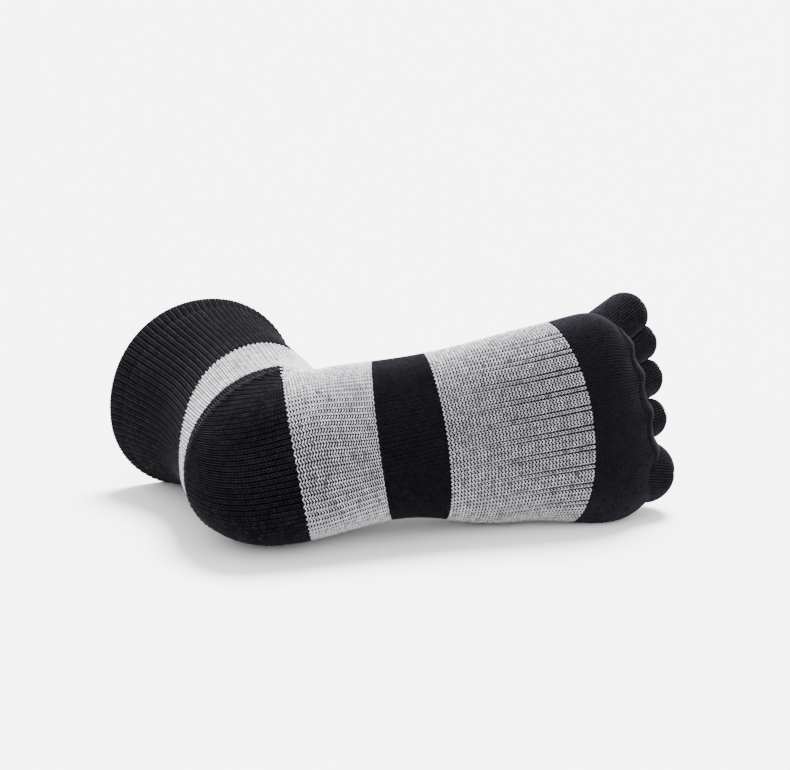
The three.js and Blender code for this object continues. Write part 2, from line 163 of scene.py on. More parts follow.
BALL_ROWS = [
    (0.429, 0.033, 0.527, 0.76, 0.401, 0.375, 0, 2.3, 0, 0.05),
    (0.539, 0.033, 0.608, 0.69, 0.416, 0.45, 0, 2.3, 0.03, 0.035),
    (0.653, 0.011, 0.698, 0.615, 0.444, 0.474, 0, 2.4, 0.08, 0.03),
    (0.763, -0.011, 0.788, 0.56, 0.464, 0.526, 0, 2.5, 0.12, 0.03),
    (0.849, 0.011, 0.861, 0.495, 0.47, 0.531, 0, 2.5, 0.12, 0.06),
    (0.902, 0.088, 0.902, 0.44, 0.422, 0.485, 0, 2.4, 0.1, 0.14),
]


def sized(rows, length, foot, height, width):
    table = np.array(rows, float)
    table[:, [0, 2]] *= length
    table[:, [1, 3]] = foot + table[:, [1, 3]] * height
    table[:, 4:7] *= width
    return table


SECTIONS = np.concatenate([
    sized(LEG_ROWS, CUFF_DEPTH, INSTEP_HEIGHT, LEG_HEIGHT - INSTEP_HEIGHT, CUFF_WIDTH),
    sized(HEEL_ROWS, FOOT_LENGTH, 0, INSTEP_HEIGHT, HEEL_WIDTH),
    sized(BALL_ROWS, FOOT_LENGTH, 0, INSTEP_HEIGHT, BALL_WIDTH),
])
back_steps, front_steps = (
    np.hypot(*np.diff(SECTIONS[:, first:first + 2], axis=0).T) for first in (0, 2))
STATIONS = np.concatenate([[0], np.cumsum((back_steps + front_steps) / 2)])
TOE_ROOT = STATIONS[-1]
print("sections:", len(SECTIONS), "over", round(TOE_ROOT, 1), "mm of sock")

# %% A natural cubic spline through the sections


def spline_bends(knots, values):
    size = len(knots)
    gap = np.diff(knots)
    system = np.eye(size)
    turns = np.zeros_like(values)
    for i in range(1, size - 1):
        system[i, i - 1:i + 2] = gap[i - 1], 2 * (gap[i - 1] + gap[i]), gap[i]
        rise = (values[i + 1] - values[i]) / gap[i] - (values[i] - values[i - 1]) / gap[i - 1]
        turns[i] = 6 * rise
    return np.linalg.solve(system, turns)


BENDS = spline_bends(STATIONS, SECTIONS)


def section_at(station):
    first = np.clip(np.searchsorted(STATIONS, station, side="right") - 1, 0, len(STATIONS) - 2)
    step = STATIONS[first + 1] - STATIONS[first]
    b = ((station - STATIONS[first]) / step)[..., None]
    a = 1 - b
    curve = ((a ** 3 - a) * BENDS[first] + (b ** 3 - b) * BENDS[first + 1]) * step[..., None] ** 2 / 6
    row = a * SECTIONS[first] + b * SECTIONS[first + 1] + curve
    return {name: row[..., i] for i, name in enumerate(COLUMNS)}


# %% [markdown]
# ## From a station and an angle to a point
#
# A station is the way along the sock in millimetres, from the rim. An angle goes round it: zero is the
# back of the leg or the sole, and a quarter turn is the little-toe side. The foot's own frame has x from
# heel to toes, h up from the sole and w towards the little toe.

# %% The skin of the foot


def ring_shares(count):
    return np.arange(count) / count


def centres(count):
    return (np.arange(count) + 0.5) / count


def foot_point(station, angle, sink=0.0):
    station, angle, sink = np.broadcast_arrays(*(np.asarray(v, float) for v in (station, angle, sink)))
    row = section_at(np.minimum(station, TOE_ROOT))
    across_x = row["back_x"] - row["front_x"]
    across_h = row["back_h"] - row["front_h"]
    half = np.hypot(across_x, across_h) / 2
    c, s = np.cos(angle), np.sin(angle)
    power = np.where(c > 0, row["back_round"], ROUND)
    reach = (np.abs(c) ** power + np.abs(s) ** power) ** (-1 / power)
    dome = np.clip(station - TOE_ROOT, 0, 1) * np.pi / 2
    side = (np.where(s > 0, row["lateral"], row["medial"]) - sink) * reach * s * np.cos(dome)
    rise = (half - sink) * reach * c * np.cos(dome)
    x = (row["back_x"] + row["front_x"]) / 2 + rise * across_x / (2 * half) - row["slant"] * side
    h = (row["back_h"] + row["front_h"]) / 2 + rise * across_h / (2 * half) + row["lean"] * side
    return np.stack([x + (PAD_DEPTH - sink) * np.sin(dome), h, row["shift"] + side], axis=-1)


# %% Lay the foot on its big-toe side, flattened where it rests


def lay(point):
    x, h, w = np.moveaxis(point, -1, 0)
    flat = x * np.cos(LIE_ANGLE) - w * np.sin(LIE_ANGLE)
    return np.stack([flat, h, x * np.sin(LIE_ANGLE) + w * np.cos(LIE_ANGLE)], axis=-1)


ROUND_TURN = np.linspace(0, TAU, 1441)
whole = lay(foot_point(np.linspace(0, TOE_ROOT, 200)[:, None], ROUND_TURN))
FLOOR = whole[..., 2].min() + PRESSED
cuff_low, cuff_high = (np.array(corner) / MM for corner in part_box("cuff"))
SHIFT = np.array([cuff_low[0] - whole[0, :, 0].min(), cuff_high[1] - whole[0, :, 1].max(), -FLOOR])
print("shift into the frame in mm:", SHIFT.round(2))


def rest(point, sink=0.0):
    laid = lay(point) + SHIFT
    laid[..., 2] = np.maximum(laid[..., 2], np.maximum(sink, 0))
    return laid


def skin(station, angle, sink=0.0):
    return rest(foot_point(station, angle, sink), sink)


# %% [markdown]
# ## Even wales
#
# A knitting machine makes the same number of loops in every course, so the columns of loops, called
# wales, share the girth evenly. Angles alone would crowd them on the narrow side, so they are spaced by
# the length of the girth.

# %% Angles that part the girth evenly


def even_angles(station, shares):
    ring = foot_point(station, ROUND_TURN)
    length = np.concatenate([[0], np.cumsum(np.linalg.norm(np.diff(ring, axis=0), axis=1))])
    turns = np.floor(shares)
    return np.interp((shares - turns) * length[-1], length, ROUND_TURN) + turns * TAU


# %% [markdown]
# ## Where the colours change
#
# The sock is knitted in zones of black and grey. Each edge between two zones gives its station at any
# angle. The cuff's edge dips to the heel, the arch band and the toe box curve back at the sides, and the
# heel pocket is a wedge between two planes that meet above the shank.

# %% Edges across the foot
CUFF_LENGTH = 45
CUFF_EDGE_DIP = 0.06 * CUFF_WIDTH
CUFF_EDGE_POINT = 0.13 * CUFF_WIDTH  # at the back the edge runs down in a blunt point
CUFF_POINT_POWER = 4
ARCH_START = 80
BAND_WIDTH = 33.5
FOREFOOT_LENGTH = 74
BAND_RADIUS = 4.1 * BALL_WIDTH
PAD_RADIUS = 1.63 * BALL_WIDTH
PAD_MIDDLE = 0.05 * BALL_WIDTH  # where the pad's edge reaches furthest forward

Edge = namedtuple("Edge", "middle at")
sole_run = np.linspace(STATIONS[len(LEG_ROWS) + 2], TOE_ROOT, 400)
sole_x = section_at(sole_run)["back_x"]


def sole_edge(x, radius=np.inf, middle=0.0):
    station = np.interp(x, sole_x, sole_run)

    def at(angle):
        across = foot_point(station, angle)[..., 2] - middle
        return station - across ** 2 / (2 * radius)

    return Edge(station, at)


def between(start, end, share, angle):
    return start.at(angle) + (end.at(angle) - start.at(angle)) * share


def cuff_edge(angle):
    back = np.cos(angle)
    return CUFF_LENGTH + CUFF_EDGE_DIP * back + CUFF_EDGE_POINT * np.maximum(back, 0) ** CUFF_POINT_POWER


RIM = Edge(0.0, lambda angle: 0.0 * angle)
CUFF_EDGE = Edge(CUFF_LENGTH, cuff_edge)
ARCH_REAR = sole_edge(ARCH_START)
ARCH_FRONT = sole_edge(ARCH_START + BAND_WIDTH, BAND_RADIUS)
PAD_REAR = sole_edge(ARCH_START + BAND_WIDTH + FOREFOOT_LENGTH, PAD_RADIUS, PAD_MIDDLE)
edges = (CUFF_EDGE, ARCH_REAR, ARCH_FRONT, PAD_REAR)
print("edges at the stations", [round(float(edge.middle)) for edge in edges])

# %% The heel's wedge
HEEL_CORNER = np.array([66.0, 65.0])
HEEL_SOLE = np.array([39.5, 0.0])
HEEL_BACK = np.array([0.0, 45.0])
HEEL_EDGE_SLANT = 0.11


def outside_heel(station, angle):
    x, h, w = np.moveaxis(foot_point(station, angle), -1, 0)
    from_corner = np.stack([x + HEEL_EDGE_SLANT * w, h], axis=-1) - HEEL_CORNER
    to_sole = HEEL_SOLE - HEEL_CORNER
    to_back = HEEL_BACK - HEEL_CORNER
    past_sole = from_corner @ np.array([-to_sole[1], to_sole[0]]) / np.hypot(*to_sole)
    past_back = from_corner @ np.array([to_back[1], -to_back[0]]) / np.hypot(*to_back)
    return np.maximum(past_sole, past_back)


# %% The heel's edges at each angle
# Each line of one angle runs through the wedge between two stations, and round the front through none.
heel_run = np.linspace(STATIONS[2], ARCH_REAR.middle, 500)
heel_field = outside_heel(heel_run[:, None], ROUND_TURN)
nearest = heel_field.argmin(axis=0)
in_heel = heel_field.min(axis=0) < 0


def crossing(column, order):
    values = heel_field[order, column]
    first = int(np.argmax(values < 0))
    part = values[first - 1] / (values[first - 1] - values[first])
    return heel_run[order[first - 1]] + part * (heel_run[order[first]] - heel_run[order[first - 1]])


down_order = np.arange(len(heel_run))
upper = heel_run[nearest].copy()
lower = upper.copy()
for column in np.flatnonzero(in_heel):
    upper[column] = crossing(column, down_order)
    lower[column] = crossing(column, down_order[::-1])
LATERAL_CORNER = ROUND_TURN[np.flatnonzero(~in_heel)[0]]
MEDIAL_CORNER = ROUND_TURN[np.flatnonzero(~in_heel)[-1]]
front = np.flatnonzero(~in_heel)
upper[front] = np.linspace(upper[front[0]], upper[front[-1]], len(front))
lower[front] = upper[front]
HEEL_MIDDLE = upper[front].mean()
HEEL_UPPER = Edge(HEEL_MIDDLE, lambda angle: np.interp(angle % TAU, ROUND_TURN, upper))
HEEL_LOWER = Edge(HEEL_MIDDLE, lambda angle: np.interp(angle % TAU, ROUND_TURN, lower))
print("heel corners at", np.degrees([LATERAL_CORNER, MEDIAL_CORNER]).round(), "degrees")

# %% [markdown]
# ## The ground cloth
#
# Behind the loops that face out lie the loops of the other side. From outside they are only holes
# between the yarns, dark with shade, so a closed cloth wall stands for them. Its colour is painted shade:
# darker than the yarn, and near black even under the grey zones. It is a grid of quads between two edges,
# given its thickness afterwards. Its skin lies half a yarn below the stitches' tops.

# %% Sink of the ground and of the yarn
YARN = 0.85  # thickness of the yarn
GROUND_SINK = 0.62  # ground below the sock's outer skin
PLAIN_COLUMNS = 144  # quads round a plain zone
YARN_SINK = 0.42  # middle of the yarn below the same skin
Grid = namedtuple("Grid", "points wrap lining", defaults=[None])  # lining: row where the inner face starts


def grid_faces(rows, columns, wrap, first=0):
    faces = []
    for i in range(rows - 1):
        for j in range(columns if wrap else columns - 1):
            a = first + i * columns + j
            b = first + i * columns + (j + 1) % columns
            faces.append((a, a + columns, b + columns, b))
    return faces


# %% Mesh of a cloth


def cloth_mesh(name, grids, weld=0.02, drop=None):
    points, faces, inner = [], [], []
    for grid in grids:
        rows, columns = grid.points.shape[:2]
        made = grid_faces(rows, columns, grid.wrap, sum(len(p) for p in points))
        inner += [grid.lining is not None and i // columns >= grid.lining for i in range(len(made))]
        faces += made
        points.append(grid.points.reshape(-1, 3))
    points = np.concatenate(points)
    if drop is not None:
        middles = np.array([points[list(face)].mean(axis=0) for face in faces])
        kept = ~drop(middles)
        faces = [face for face, keep in zip(faces, kept) if keep]
        inner = [side for side, keep in zip(inner, kept) if keep]
    mesh = bpy.data.meshes.new(name)
    mesh.from_pydata((points * MM).tolist(), [], faces)
    mesh.polygons.foreach_set("material_index", np.array(inner, np.int32))
    shell = bmesh.new()
    shell.from_mesh(mesh)
    bmesh.ops.remove_doubles(shell, verts=shell.verts, dist=weld * MM)
    bmesh.ops.dissolve_degenerate(shell, dist=0.001 * MM, edges=shell.edges)
    loose = [vert for vert in shell.verts if not vert.link_faces]
    bmesh.ops.delete(shell, geom=loose, context="VERTS")
    shell.to_mesh(mesh)
    shell.free()
    return mesh


# %% Grid between two edges


def zone_grid(start, end, rows, columns, sink=GROUND_SINK, surface=skin):
    share = np.linspace(0, 1, rows + 1)
    middles = start.middle + (end.middle - start.middle) * share
    angles = np.stack([even_angles(middle, ring_shares(columns)) for middle in middles])
    stations = between(start, end, share[:, None], angles)
    return Grid(surface(stations, angles, sink), True)


# %% [markdown]
# ## The net of stitches
#
# In plain knitting every loop shows as a small V, and each V sits in the mouth of the one before. The
# net holds one point for each V with what it needs to be placed: the way along the wale, the way out of
# the cloth, the room for it across and along, and a tone of its own. The surface is followed by stepping
# a little along it and round it from each point. A bump pattern would be lighter than a net of real
# stitches, but it would leave the zones' edges smooth, where the real ones are stepped like a saw.

# %% Measure the room of each stitch
STEP_ALONG = 0.02  # in the station's own unit
STEP_ROUND = 0.002


def unit(vector):
    return vector / np.maximum(np.linalg.norm(vector, axis=-1, keepdims=True), 1e-9)


def stitch_net(surface, station, angle, course, wale, sink=YARN_SINK, step=STEP_ALONG):
    here = surface(station, angle, sink)
    ahead = surface(station + step, angle, sink) - surface(station - step, angle, sink)
    beside = surface(station, angle + STEP_ROUND, sink) - surface(station, angle - STEP_ROUND, sink)
    net = {
        "place": here,
        "along": unit(ahead),
        "out": unit(np.cross(ahead, beside)),
        "course": np.linalg.norm(ahead, axis=-1) / (2 * step) * course,
        "wale": np.linalg.norm(np.cross(unit(ahead), beside), axis=-1) / (2 * STEP_ROUND) * wale,
    }
    return {name: value.reshape(-1, 3) if value.ndim == here.ndim else value.reshape(-1)
            for name, value in net.items()}


def join_nets(*nets):
    return {name: np.concatenate([net[name] for net in nets]) for name in nets[0]}


def zone_net(start, end, courses, wales, shares=None, sink=YARN_SINK, widths=1.0, surface=skin):
    share = centres(courses)
    if shares is None:
        shares = np.broadcast_to(centres(wales), (courses, wales))
    middles = start.middle + (end.middle - start.middle) * share
    angles = np.stack([even_angles(middle, row) for middle, row in zip(middles, shares)])
    stations = between(start, end, share[:, None], angles)
    spread = np.stack([even_angles(middle, row + 0.5 / wales) - even_angles(middle, row - 0.5 / wales)
                       for middle, row in zip(middles, shares)])
    length = end.at(angles) - start.at(angles)
    return stitch_net(surface, stations, angles, length / courses, spread * widths, sink)


# %% [markdown]
# ## One stitch
#
# A V has two legs. Each leg is a short bean of yarn: thin where it dives under its neighbours, thick in
# the middle. A bean with two rings of three points and a tip at each end has twelve triangles, which is
# enough at this size, because nearly thirty thousand stitches are needed. It is made in unit room: one
# wide between the wales, one long between the courses. There are three kinds. In the grey zones it is
# stretched, so the legs lie flat across and holes open between them, dark with the ground's painted
# shade. In the black zones a finer yarn is packed closer, and the legs run so far over each other that
# each wale looks like a cord. On the arch band and the ball of the foot the legs stand evenly apart, so
# the wales hardly show and the knit looks like a fine twill.

# %% Legs of the stitches
LEG_TOP = 0.5  # of a leg's ring, above its middle line
LEG_UNDER = 0.35  # and below it
OPEN_LEG = [  # across, along, height, half width across, half width along
    (0.52, -0.52, -0.7, 0.0, 0.0),
    (0.4, -0.27, 0.0, 0.08, 0.138),
    (0.13, 0.22, 0.0, 0.08, 0.138),
    (0.0, 0.44, -0.6, 0.0, 0.0),
]
CLOSE_LEG = [
    (0.35, -0.9, -0.6, 0.0, 0.0),
    (0.28, -0.42, 0.0, 0.12, 0.0),
    (0.13, 0.36, 0.0, 0.12, 0.0),
    (0.05, 0.8, -0.6, 0.0, 0.0),
]
EVEN_LEG = [
    (0.46, -0.9, -0.6, 0.0, 0.0),
    (0.37, -0.42, 0.0, 0.1, 0.0),
    (0.14, 0.36, 0.0, 0.1, 0.0),
    (0.05, 0.8, -0.6, 0.0, 0.0),
]


# %% Model the stitches


def stitch_object(name, leg_line):
    points, faces = [], []
    for side in (-1, 1):
        first = len(points)
        for across, along, height, half, reach in leg_line:
            if half == 0:
                points.append((side * across, along, height))
                continue
            points += [
                (side * (across - half), along - reach, height - LEG_UNDER),
                (side * across, along, height + LEG_TOP),
                (side * (across + half), along + reach, height - LEG_UNDER),
            ]
        tail, head = first, first + 7
        for k in range(3):
            near, far = first + 1 + k, first + 1 + (k + 1) % 3
            faces.append((tail, far, near))
            faces.append((near, far, far + 3, near + 3))
            faces.append((head, near + 3, far + 3))
    mesh = bpy.data.meshes.new(name)
    mesh.from_pydata(points, [], faces)
    shell = bmesh.new()
    shell.from_mesh(mesh)
    bmesh.ops.recalc_face_normals(shell, faces=shell.faces)
    bmesh.ops.triangulate(shell, faces=shell.faces)
    shell.to_mesh(mesh)
    shell.free()
    return bpy.data.objects.new(name, mesh)


OPEN_STITCH = stitch_object("open_stitch", OPEN_LEG)
CLOSE_STITCH = stitch_object("close_stitch", CLOSE_LEG)
EVEN_STITCH = stitch_object("even_stitch", EVEN_LEG)
print("triangles in a stitch:", len(OPEN_STITCH.data.polygons))

# %% [markdown]
# ## The tree that knits
#
# One tree serves every zone. It takes the points of the net, turns a stitch to each of them with its
# back on the cloth and its point towards the toes, gives it its room and a small random turn, and then
# makes real mesh of all of them. The ground cloth passes through untouched. Copies could be set by a
# loop in Python too, but the tree does it in one pass and its sizes stay open as inputs.

# %% Build the tree


def knit_tree():
    tree = bpy.data.node_groups.new("knit", "GeometryNodeTree")
    face = tree.interface
    face.new_socket("Geometry", in_out="INPUT", socket_type="NodeSocketGeometry")
    face.new_socket("Stitch", in_out="INPUT", socket_type="NodeSocketObject")
    face.new_socket("Yarn", in_out="INPUT", socket_type="NodeSocketMaterial")
    face.new_socket("Thickness", in_out="INPUT", socket_type="NodeSocketFloat")
    face.new_socket("Turn", in_out="INPUT", socket_type="NodeSocketFloat")
    face.new_socket("Seed", in_out="INPUT", socket_type="NodeSocketInt")
    face.new_socket("Geometry", in_out="OUTPUT", socket_type="NodeSocketGeometry")
    given = node(tree, "NodeGroupInput").outputs

    def read(name, kind):
        return node(tree, "GeometryNodeInputNamedAttribute", {"Name": name}, data_type=kind).outputs[0]

    parts = node(tree, "GeometryNodeSeparateGeometry",
                 {"Geometry": given["Geometry"], "Selection": read("stitch", "BOOLEAN")}, domain="POINT")
    axes = {"Primary Axis": read("out", "FLOAT_VECTOR"), "Secondary Axis": read("along", "FLOAT_VECTOR")}
    facing = node(tree, "FunctionNodeAxesToRotation", axes, primary_axis="Z", secondary_axis="Y")
    least = node(tree, "ShaderNodeVectorMath", {0: (-1, -1, -1)}, operation="SCALE")
    most = node(tree, "ShaderNodeVectorMath", {0: (1, 1, 1)}, operation="SCALE")
    for scaled in (least, most):
        tree.links.new(given["Turn"], scaled.inputs["Scale"])
    loose = node(tree, "FunctionNodeRandomValue", {
        0: least.outputs[0], 1: most.outputs[0], "Seed": given["Seed"],
    }, data_type="FLOAT_VECTOR")
    turn = node(tree, "FunctionNodeEulerToRotation", {"Euler": loose.outputs[0]})
    turned = node(tree, "FunctionNodeRotateRotation",
                  {"Rotation": facing.outputs[0], "Rotate By": turn.outputs[0]}, rotation_space="LOCAL")
    size = node(tree, "ShaderNodeCombineXYZ",
                {"X": read("wale", "FLOAT"), "Y": read("course", "FLOAT"), "Z": given["Thickness"]})
    shape = node(tree, "GeometryNodeObjectInfo", {"Object": given["Stitch"]})
    placed = node(tree, "GeometryNodeInstanceOnPoints", {
        "Points": parts.outputs["Selection"], "Instance": shape.outputs["Geometry"],
        "Rotation": turned.outputs[0], "Scale": size.outputs[0],
    })
    real = node(tree, "GeometryNodeRealizeInstances", {"Geometry": placed.outputs[0]})
    dyed = node(tree, "GeometryNodeSetMaterial", {"Geometry": real.outputs[0], "Material": given["Yarn"]})
    joined = node(tree, "GeometryNodeJoinGeometry")
    tree.links.new(dyed.outputs[0], joined.inputs[0])
    tree.links.new(parts.outputs["Inverted"], joined.inputs[0])
    result = node(tree, "NodeGroupOutput")
    tree.links.new(joined.outputs[0], result.inputs[0])
    return tree


KNIT = knit_tree()
SOCKETS = {item.name: item.identifier for item in KNIT.interface.items_tree if item.in_out == "INPUT"}
print("tree inputs:", SOCKETS)

# %% [markdown]
# ## Colours
#
# Colours are picked as a painter would name them, in the hex code of a screen, and one function turns
# them to the linear light that the renderer reckons with.

# %% Hex to linear


def linear(code):
    parts = [int(code[i:i + 2], 16) / 255 for i in (1, 3, 5)]
    return [p / 12.92 if p <= 0.04045 else ((p + 0.055) / 1.055) ** 2.4 for p in parts] + [1.0]


# %% [markdown]
# ## Cotton yarn
#
# The real yarn is combed cotton with some nylon. It is matt, with a soft haze where its fibres catch
# the light from the side, which sheen gives. Heather yarn is spun from dark and light fibres, so its
# colour drifts along the thread. Each stitch also has a tone of its own. A picture of cloth would
# stretch over heel and toes, so the flecks are noise in space, at the size of real fibre clumps.

# %% Yarn and ground materials


def yarn_material(name, dark, light, fleck, haze=0.1, shine=0.1, roughness=0.9):
    material = bpy.data.materials.new(name)
    material.use_nodes = True
    tree = material.node_tree
    tree.nodes.clear()
    where = node(tree, "ShaderNodeTexCoord").outputs["Object"]
    # Fibre clumps about 0.9 mm long
    clumps = node(tree, "ShaderNodeTexNoise", {"Vector": where, "Scale": 1100, "Detail": 2}).outputs["Fac"]
    tone = node(tree, "ShaderNodeAttribute", attribute_name="tone").outputs["Fac"]
    centred = node(tree, "ShaderNodeMath", {0: clumps, 1: 0.5}, operation="SUBTRACT").outputs[0]
    strong = node(tree, "ShaderNodeMath", {0: centred, 1: fleck, 2: tone}, operation="MULTIPLY_ADD")
    colour = node(tree, "ShaderNodeMix", {"Factor": strong.outputs[0]}, data_type="RGBA")
    colour.inputs[6].default_value = linear(dark)
    colour.inputs[7].default_value = linear(light)
    # Twisted plies about 0.35 mm apart
    plies = node(tree, "ShaderNodeTexNoise", {"Vector": where, "Scale": 2900, "Detail": 1}).outputs["Fac"]
    bump = node(tree, "ShaderNodeBump", {"Height": plies, "Strength": 0.5, "Distance": 0.00015}).outputs[0]
    shader = node(tree, "ShaderNodeBsdfPrincipled", {
        "Base Color": colour.outputs[2], "Roughness": roughness, "IOR": 1.5, "Specular IOR Level": shine,
        "Sheen Weight": haze, "Sheen Roughness": 0.5, "Normal": bump,
    })
    out = node(tree, "ShaderNodeOutputMaterial")
    tree.links.new(shader.outputs[0], out.inputs["Surface"])
    return material


BLACK_YARN = yarn_material("combed_cotton_black", "#040407", "#17161c", 0.35, haze=0.025, shine=0.03)
GREY_YARN = yarn_material("combed_cotton_heather_grey", "#35363a", "#b9b9bd", 0.9)
# Grounds for the rib and the black zones: black yarn, made darker than the yarn as painted shade for the
# holes between the loops.
RIB_GROUND_PAINTED_SHADE = yarn_material("rib_ground_black_painted_shade", "#040406", "#0c0b10", 0.6, haze=0.01, shine=0.02)
BLACK_GROUND_PAINTED_SHADE = yarn_material("knit_ground_black", "#010102", "#030304", 0.4, haze=0.0, shine=0.01)
# Ground for the grey zones: near black, all painted shade for the holes, since its back loops are grey
# like the inner face's material.
GREY_GROUND_PAINTED_SHADE = yarn_material("knit_ground_grey", "#050507", "#0e0e11", 0.4, haze=0.0)
GREY_BACK = yarn_material("knit_back_grey", "#34353a", "#77787c", 1.2)
print("materials:", [material.name for material in bpy.data.materials])

# %% [markdown]
# ## Knitting a piece
#
# A piece starts as its ground cloth. Solidify gives it a wall, then the points of the net join it, and
# the tree puts a stitch on each. The result is taken over as a plain mesh.

# %% Turn modifiers into plain mesh


def evaluated_mesh(made):
    bpy.context.view_layer.update()
    depsgraph = bpy.context.evaluated_depsgraph_get()
    mesh = bpy.data.meshes.new_from_object(made.evaluated_get(depsgraph))
    made.modifiers.clear()
    made.data = mesh
    return mesh


def give_wall(made, thickness):
    wall = made.modifiers.new("wall", "SOLIDIFY")
    wall.thickness = thickness * MM
    wall.offset = -1
    wall.material_offset = 1  # the inner face shows the back of the knit
    evaluated_mesh(made)


# %% Write a net's values on its points


def net_mesh(net, tones):
    mesh = bpy.data.meshes.new("net")
    count = len(net["place"])
    mesh.from_pydata((net["place"] * MM).tolist(), [], [])
    for name in ("along", "out"):
        mesh.attributes.new(name, "FLOAT_VECTOR", "POINT").data.foreach_set("vector", net[name].ravel())
    for name in ("course", "wale"):
        mesh.attributes.new(name, "FLOAT", "POINT").data.foreach_set("value", net[name] * MM)
    mesh.attributes.new("tone", "FLOAT", "POINT").data.foreach_set("value", tones)
    mesh.attributes.new("stitch", "BOOLEAN", "POINT").data.foreach_set("value", np.ones(count, bool))
    return mesh


# %% Make one piece from its cloth and its net
SEED = 11
LOOSE_TURN = 0.05  # radians, how far stitches turn out of line
chance = np.random.default_rng(SEED)


def knit(name, cloth, net, yarn, ground, back=None, tone=(0.5, 0.2), wall=None, thickness=YARN,
         stitch=CLOSE_STITCH):
    piece = object_with(name, cloth)
    # The ground material colours the cloth under the stitches: painted shade for the holes between them.
    piece.data.materials.append(ground)
    piece.data.materials.append(back or ground)
    if wall is not None:
        give_wall(piece, wall)
    # Each stitch's tone is random, plus the painted highlight that the heel's welt carries.
    tones = np.clip(chance.normal(tone[0], tone[1], len(net["place"])) + net.get("lift", 0), 0, 1)
    points = object_with("net", net_mesh(net, tones))
    chosen = {"active_object": piece, "object": piece, "selected_editable_objects": [piece, points]}
    with bpy.context.temp_override(**chosen):
        bpy.ops.object.join()
    tree = piece.modifiers.new("knit", "NODES")
    tree.node_group = KNIT
    tree[SOCKETS["Stitch"]] = stitch
    tree[SOCKETS["Yarn"]] = yarn
    tree[SOCKETS["Thickness"]] = thickness * MM
    tree[SOCKETS["Turn"]] = LOOSE_TURN
    tree[SOCKETS["Seed"]] = SEED
    mesh = evaluated_mesh(piece)
    for helper in ("along", "out", "course", "wale", "stitch"):
        mesh.attributes.remove(mesh.attributes[helper])
    mesh.polygons.foreach_set("use_smooth", np.ones(len(mesh.polygons), bool))
    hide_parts(name.removesuffix("_knit"))
    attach(piece, "root")
    mesh.calc_loop_triangles()
    print(name, "stitches", len(net["place"]), "triangles", len(mesh.loop_triangles))
    return piece


# %% [markdown]
# ## The cuff
#
# The leg cuff is a one-by-one rib: every other wale stands proud, and the wales between sink back, which
# makes it elastic. Its wall turns over at the rim and comes down inside, so it is one closed ring of
# quads: out along the skin, round the rim, back inside. The elastic also draws soft creases into it: one
# runs round just below the rim, and a few more wander across the ribs. All of this moves the mesh
# itself, since bump alone would leave the rim's outline smooth.

# %% Sizes of the cuff
CUFF_RIBS = 88
CUFF_COURSES = 38
RIB_DEPTH = 0.32
INNER_RELIEF = 1.6  # the furrows show inside as ribs, so much stronger
RIB_FADE = 0.1  # share of the cuff below the rim in which the furrows fade out
RIM_ROUND = 0.6
RIB_PROFILE = np.array([0.0, 0.0, 1.0, 1.0])  # sink at four columns of each rib

# %% Creases and the flared rim
CREASE_AT = 6.5  # below the rim
CREASES = [  # station, drift round, depth, width, waves round
    (CREASE_AT, 1.2, 0.95, 1.9, 2),
    (19.0, 4.0, 0.28, 3.5, 3),
    (31.0, 5.0, 0.25, 3.0, 2),
]
FLARE = 1.0  # how far the rim stands out, with more of it where the rim lies on the floor at the back
FLARE_RUN = 9.0


def crease(station, angle):
    loose = 1 + np.clip(np.cos(angle + TAU / 8), 0, 1) ** 3
    depth = -FLARE * loose * np.exp(-np.maximum(station, 0) / FLARE_RUN)
    for middle, drift, deep, width, waves in CREASES:
        line = middle + drift * np.sin(waves * angle + middle)
        fade = 0.5 + 0.5 * np.sin(waves * angle * 1.5 + 2 * middle) ** 2
        depth = depth + deep * fade * np.exp(-((station - line) / width) ** 2)
    return depth


def smooth(station, angle):
    return 0.0 * station


# %% A wall that turns over at its ends


def ring_wall(start, end, rows, shares, relief, inner=0.0, rim=False, soft=smooth, edge=0):
    """A closed ring of quads. Its lining starts edge rows past the far end."""
    share = np.linspace(0, 1, rows + 1)
    stops = [(t, 0.0, GROUND_SINK, 1.0) for t in share]
    stops += [(t, 0.0, WALL, inner) for t in share[::-1]]
    if rim:
        middle, half = (GROUND_SINK + WALL) / 2, (WALL - GROUND_SINK) / 2
        for turn in np.radians([150, 90, 30]):
            stops.append((0.0, -RIM_ROUND * np.sin(turn), middle - half * np.cos(turn), 0.5))
    rings = []
    for t, past, sink, raised in stops:
        middle = start.middle + (end.middle - start.middle) * t
        angles = even_angles(middle, shares)
        stations = between(start, end, t, angles) + past
        rings.append(skin(stations, angles, sink + raised * relief(t) + soft(stations, angles)))
    rings.append(rings[0])
    return cloth_mesh("wall", [Grid(np.stack(rings), True, rows + edge)])


# %% Knit the cuff


def cuff_skin(station, angle, sink=0.0):
    return skin(station, angle, sink + crease(station, angle))


cuff_relief = np.tile(RIB_PROFILE, CUFF_RIBS) * RIB_DEPTH
cuff_wall = ring_wall(RIM, CUFF_EDGE, 22, ring_shares(len(cuff_relief)),
                      lambda t: cuff_relief * min(t / RIB_FADE, 1), INNER_RELIEF, rim=True, soft=crease)
cuff_places = np.broadcast_to((np.arange(CUFF_RIBS) + 0.125) / CUFF_RIBS, (CUFF_COURSES, CUFF_RIBS))
cuff_net = zone_net(RIM, CUFF_EDGE, CUFF_COURSES, CUFF_RIBS, widths=0.85, shares=cuff_places,
                    surface=cuff_skin)
knit("cuff_knit", cuff_wall, cuff_net, BLACK_YARN, RIB_GROUND_PAINTED_SHADE, back=BLACK_YARN,
     tone=(0.29, 0.22), thickness=0.5)

# %% [markdown]
# ## The grey ankle and the heel pocket
#
# The grey zone runs round the ankle and the rear foot, with an opening where the heel is turned. It is
# made of two strips, one above the heel and one below it, that share their middle line round the front
# and part at the heel's corners. The heel pocket fills the space between them.

